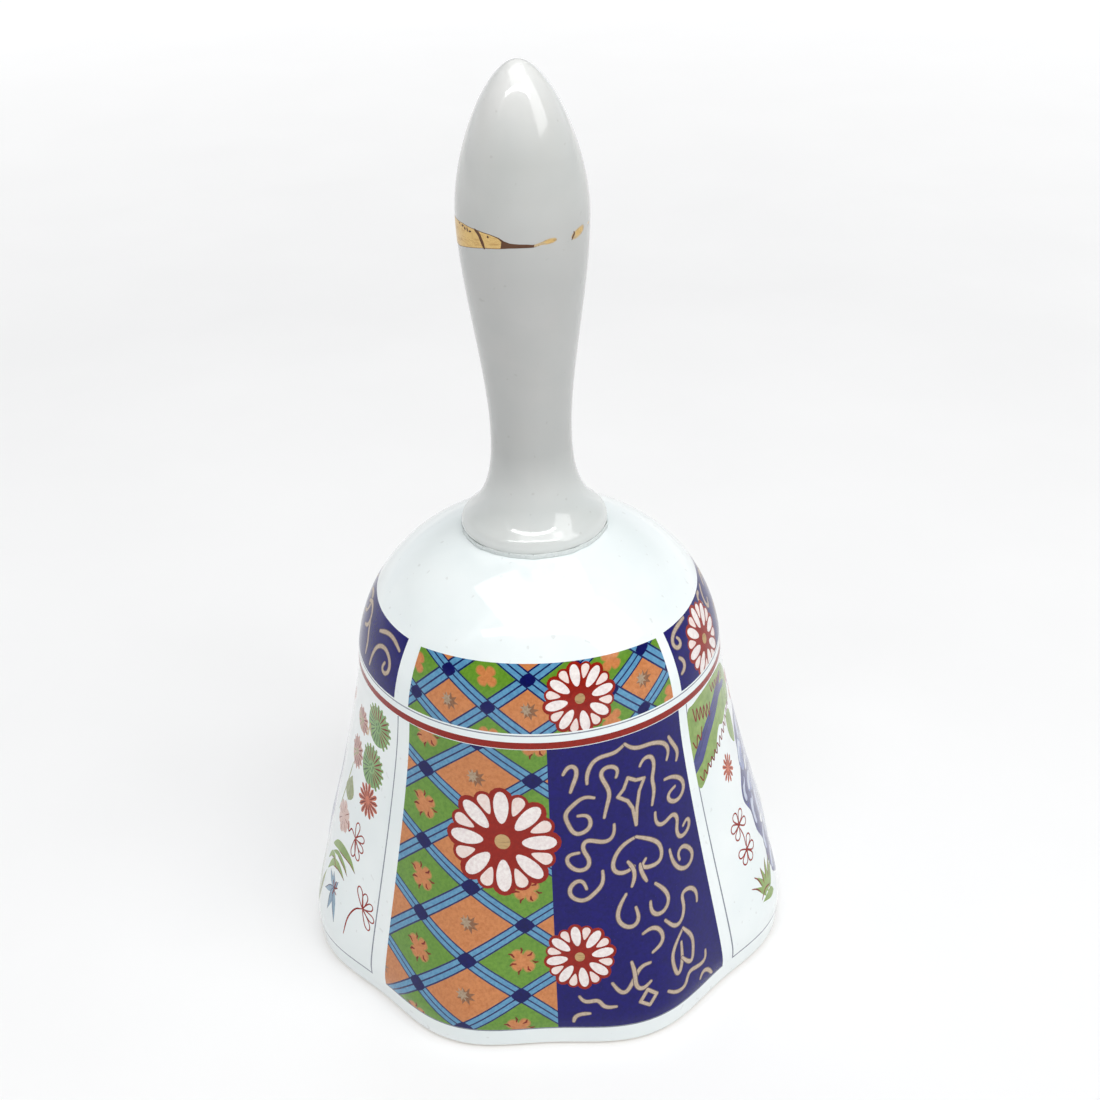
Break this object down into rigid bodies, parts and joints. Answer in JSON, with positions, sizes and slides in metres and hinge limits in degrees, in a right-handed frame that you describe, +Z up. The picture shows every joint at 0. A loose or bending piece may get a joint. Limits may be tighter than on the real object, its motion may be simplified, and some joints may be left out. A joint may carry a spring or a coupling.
{
  "type": "porcelain hand bell",
  "caption": "Lobed porcelain table bell with a hollow finial handle and a porcelain bead clapper hung inside on brass rings; it stands on its rim.",
  "frame": {"origin": "centre of the rim's flat foot, on the plane that the bell stands on", "axes": "+Z up along the bell's axis towards the tip of the handle; -Y faces the middle of the front painted panel"},
  "size_m": [0.0782, 0.0782, 0.14],
  "materials": {
    "cup_porcelain": "glossy clear glaze over white porcelain, with overglaze enamels on the outside",
    "handle_porcelain": "glossy clear glaze over white porcelain",
    "bead_porcelain": "glossy white glaze, bare at the bore",
    "enamel_colours": "painted overglaze enamels, mostly cobalt, green, orange and iron red",
    "gold_lustre": "thin worn gold lustre",
    "luting_cement": "matt grey cement",
    "plug_plaster": "matt cast plaster",
    "brass": "drawn wire, slightly tarnished"
  },
  "bodies": {
    "bell": {"bell_cup": "cup_porcelain", "handle": "handle_porcelain", "collar_bed": "luting_cement", "crown_plug": "plug_plaster", "hanger_eye": "brass"},
    "upper_link": {"chain_link_upper": "brass"},
    "lower_link": {"chain_link_lower": "brass"},
    "clapper": {"clapper_wire": "brass", "clapper_bead": "bead_porcelain", "bead_washer_upper": "brass", "bead_washer_lower": "brass"}
  },
  "joints": [
    {"name": "upper_link_twist", "type": "hinge", "parent": "bell", "child": "upper_link", "pos_m": [0, 0, 0.0633], "axis": [0, 0, 1], "range_deg": [-45, 45]},
    {"name": "lower_link_twist", "type": "hinge", "parent": "upper_link", "child": "lower_link", "pos_m": [0, 0, 0.0592], "axis": [0, 0, 1], "range_deg": [-45, 45]},
    {"name": "clapper_swing", "type": "hinge", "parent": "lower_link", "child": "clapper", "pos_m": [0, 0, 0.05463], "axis": [1, 0, 0], "range_deg": [-36, 36]}
  ]
}
